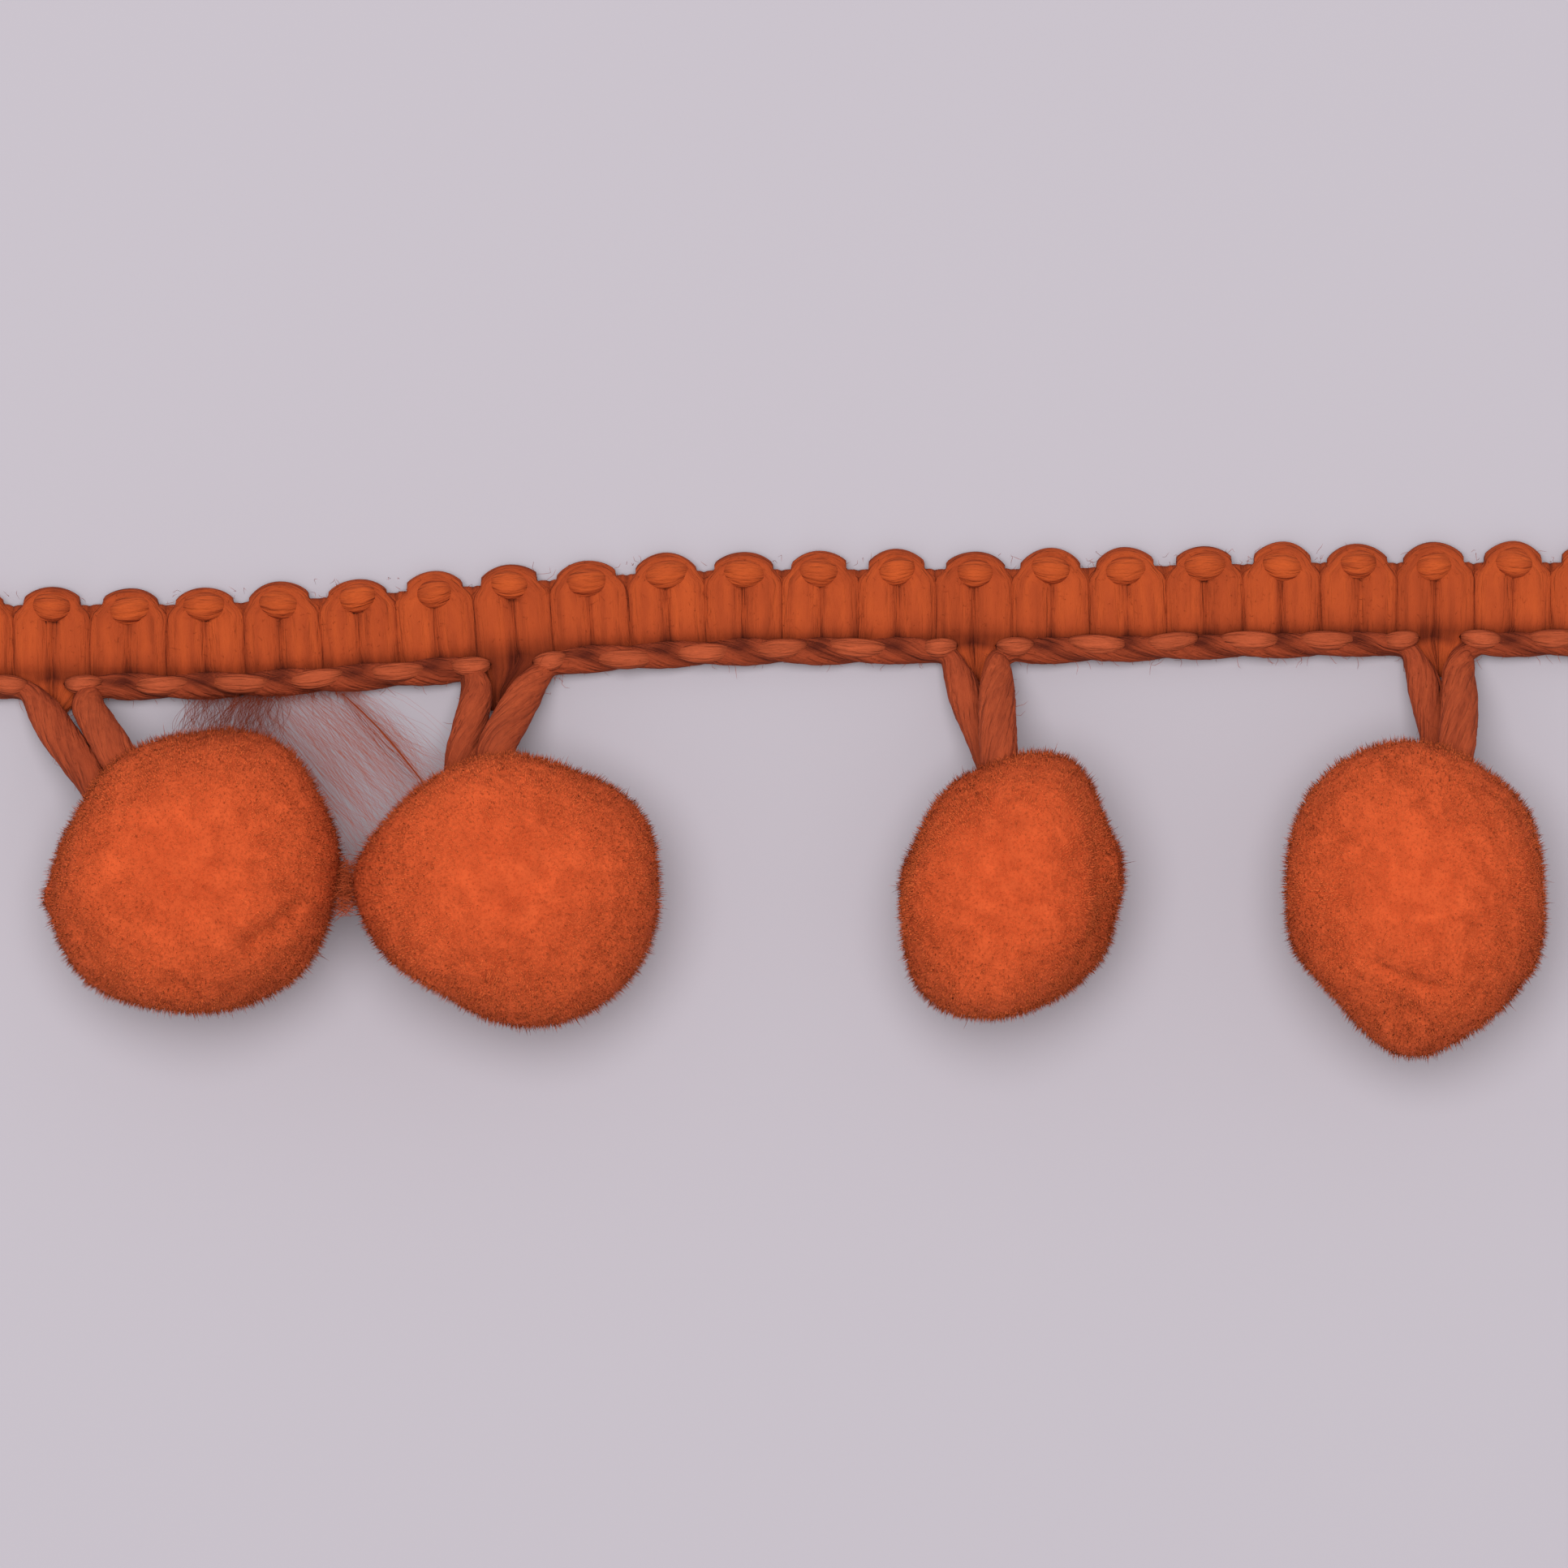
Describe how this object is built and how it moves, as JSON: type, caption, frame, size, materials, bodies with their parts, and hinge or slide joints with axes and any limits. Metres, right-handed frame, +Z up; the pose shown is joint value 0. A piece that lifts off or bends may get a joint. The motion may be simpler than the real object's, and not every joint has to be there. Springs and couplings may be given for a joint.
{
  "type": "pom pom trim",
  "caption": "Cut length of orange pom pom trim: a ribbed, scalloped braid heading whose two-ply edge yarn drops in loops, each holding a soft clipped pom pom.",
  "frame": {"origin": "middle of the heading's flat back, on the surface that the trim lies on", "axes": "+X along the heading's length, +Y across it from the pom poms to the scallops, +Z up from the surface"},
  "size_m": [0.1296, 0.0362, 0.0183],
  "materials": {
    "braid": "matte crocheted yarn",
    "yarn": "matte two-ply twisted yarn",
    "pile": "dense clipped pile, matte and felt-like"
  },
  "bodies": {
    "root": {"heading": "braid", "carrier_yarn": "yarn", "pompom_1": "pile", "pompom_2": "pile", "pompom_3": "pile", "pompom_4": "pile"}
  },
  "joints": []
}
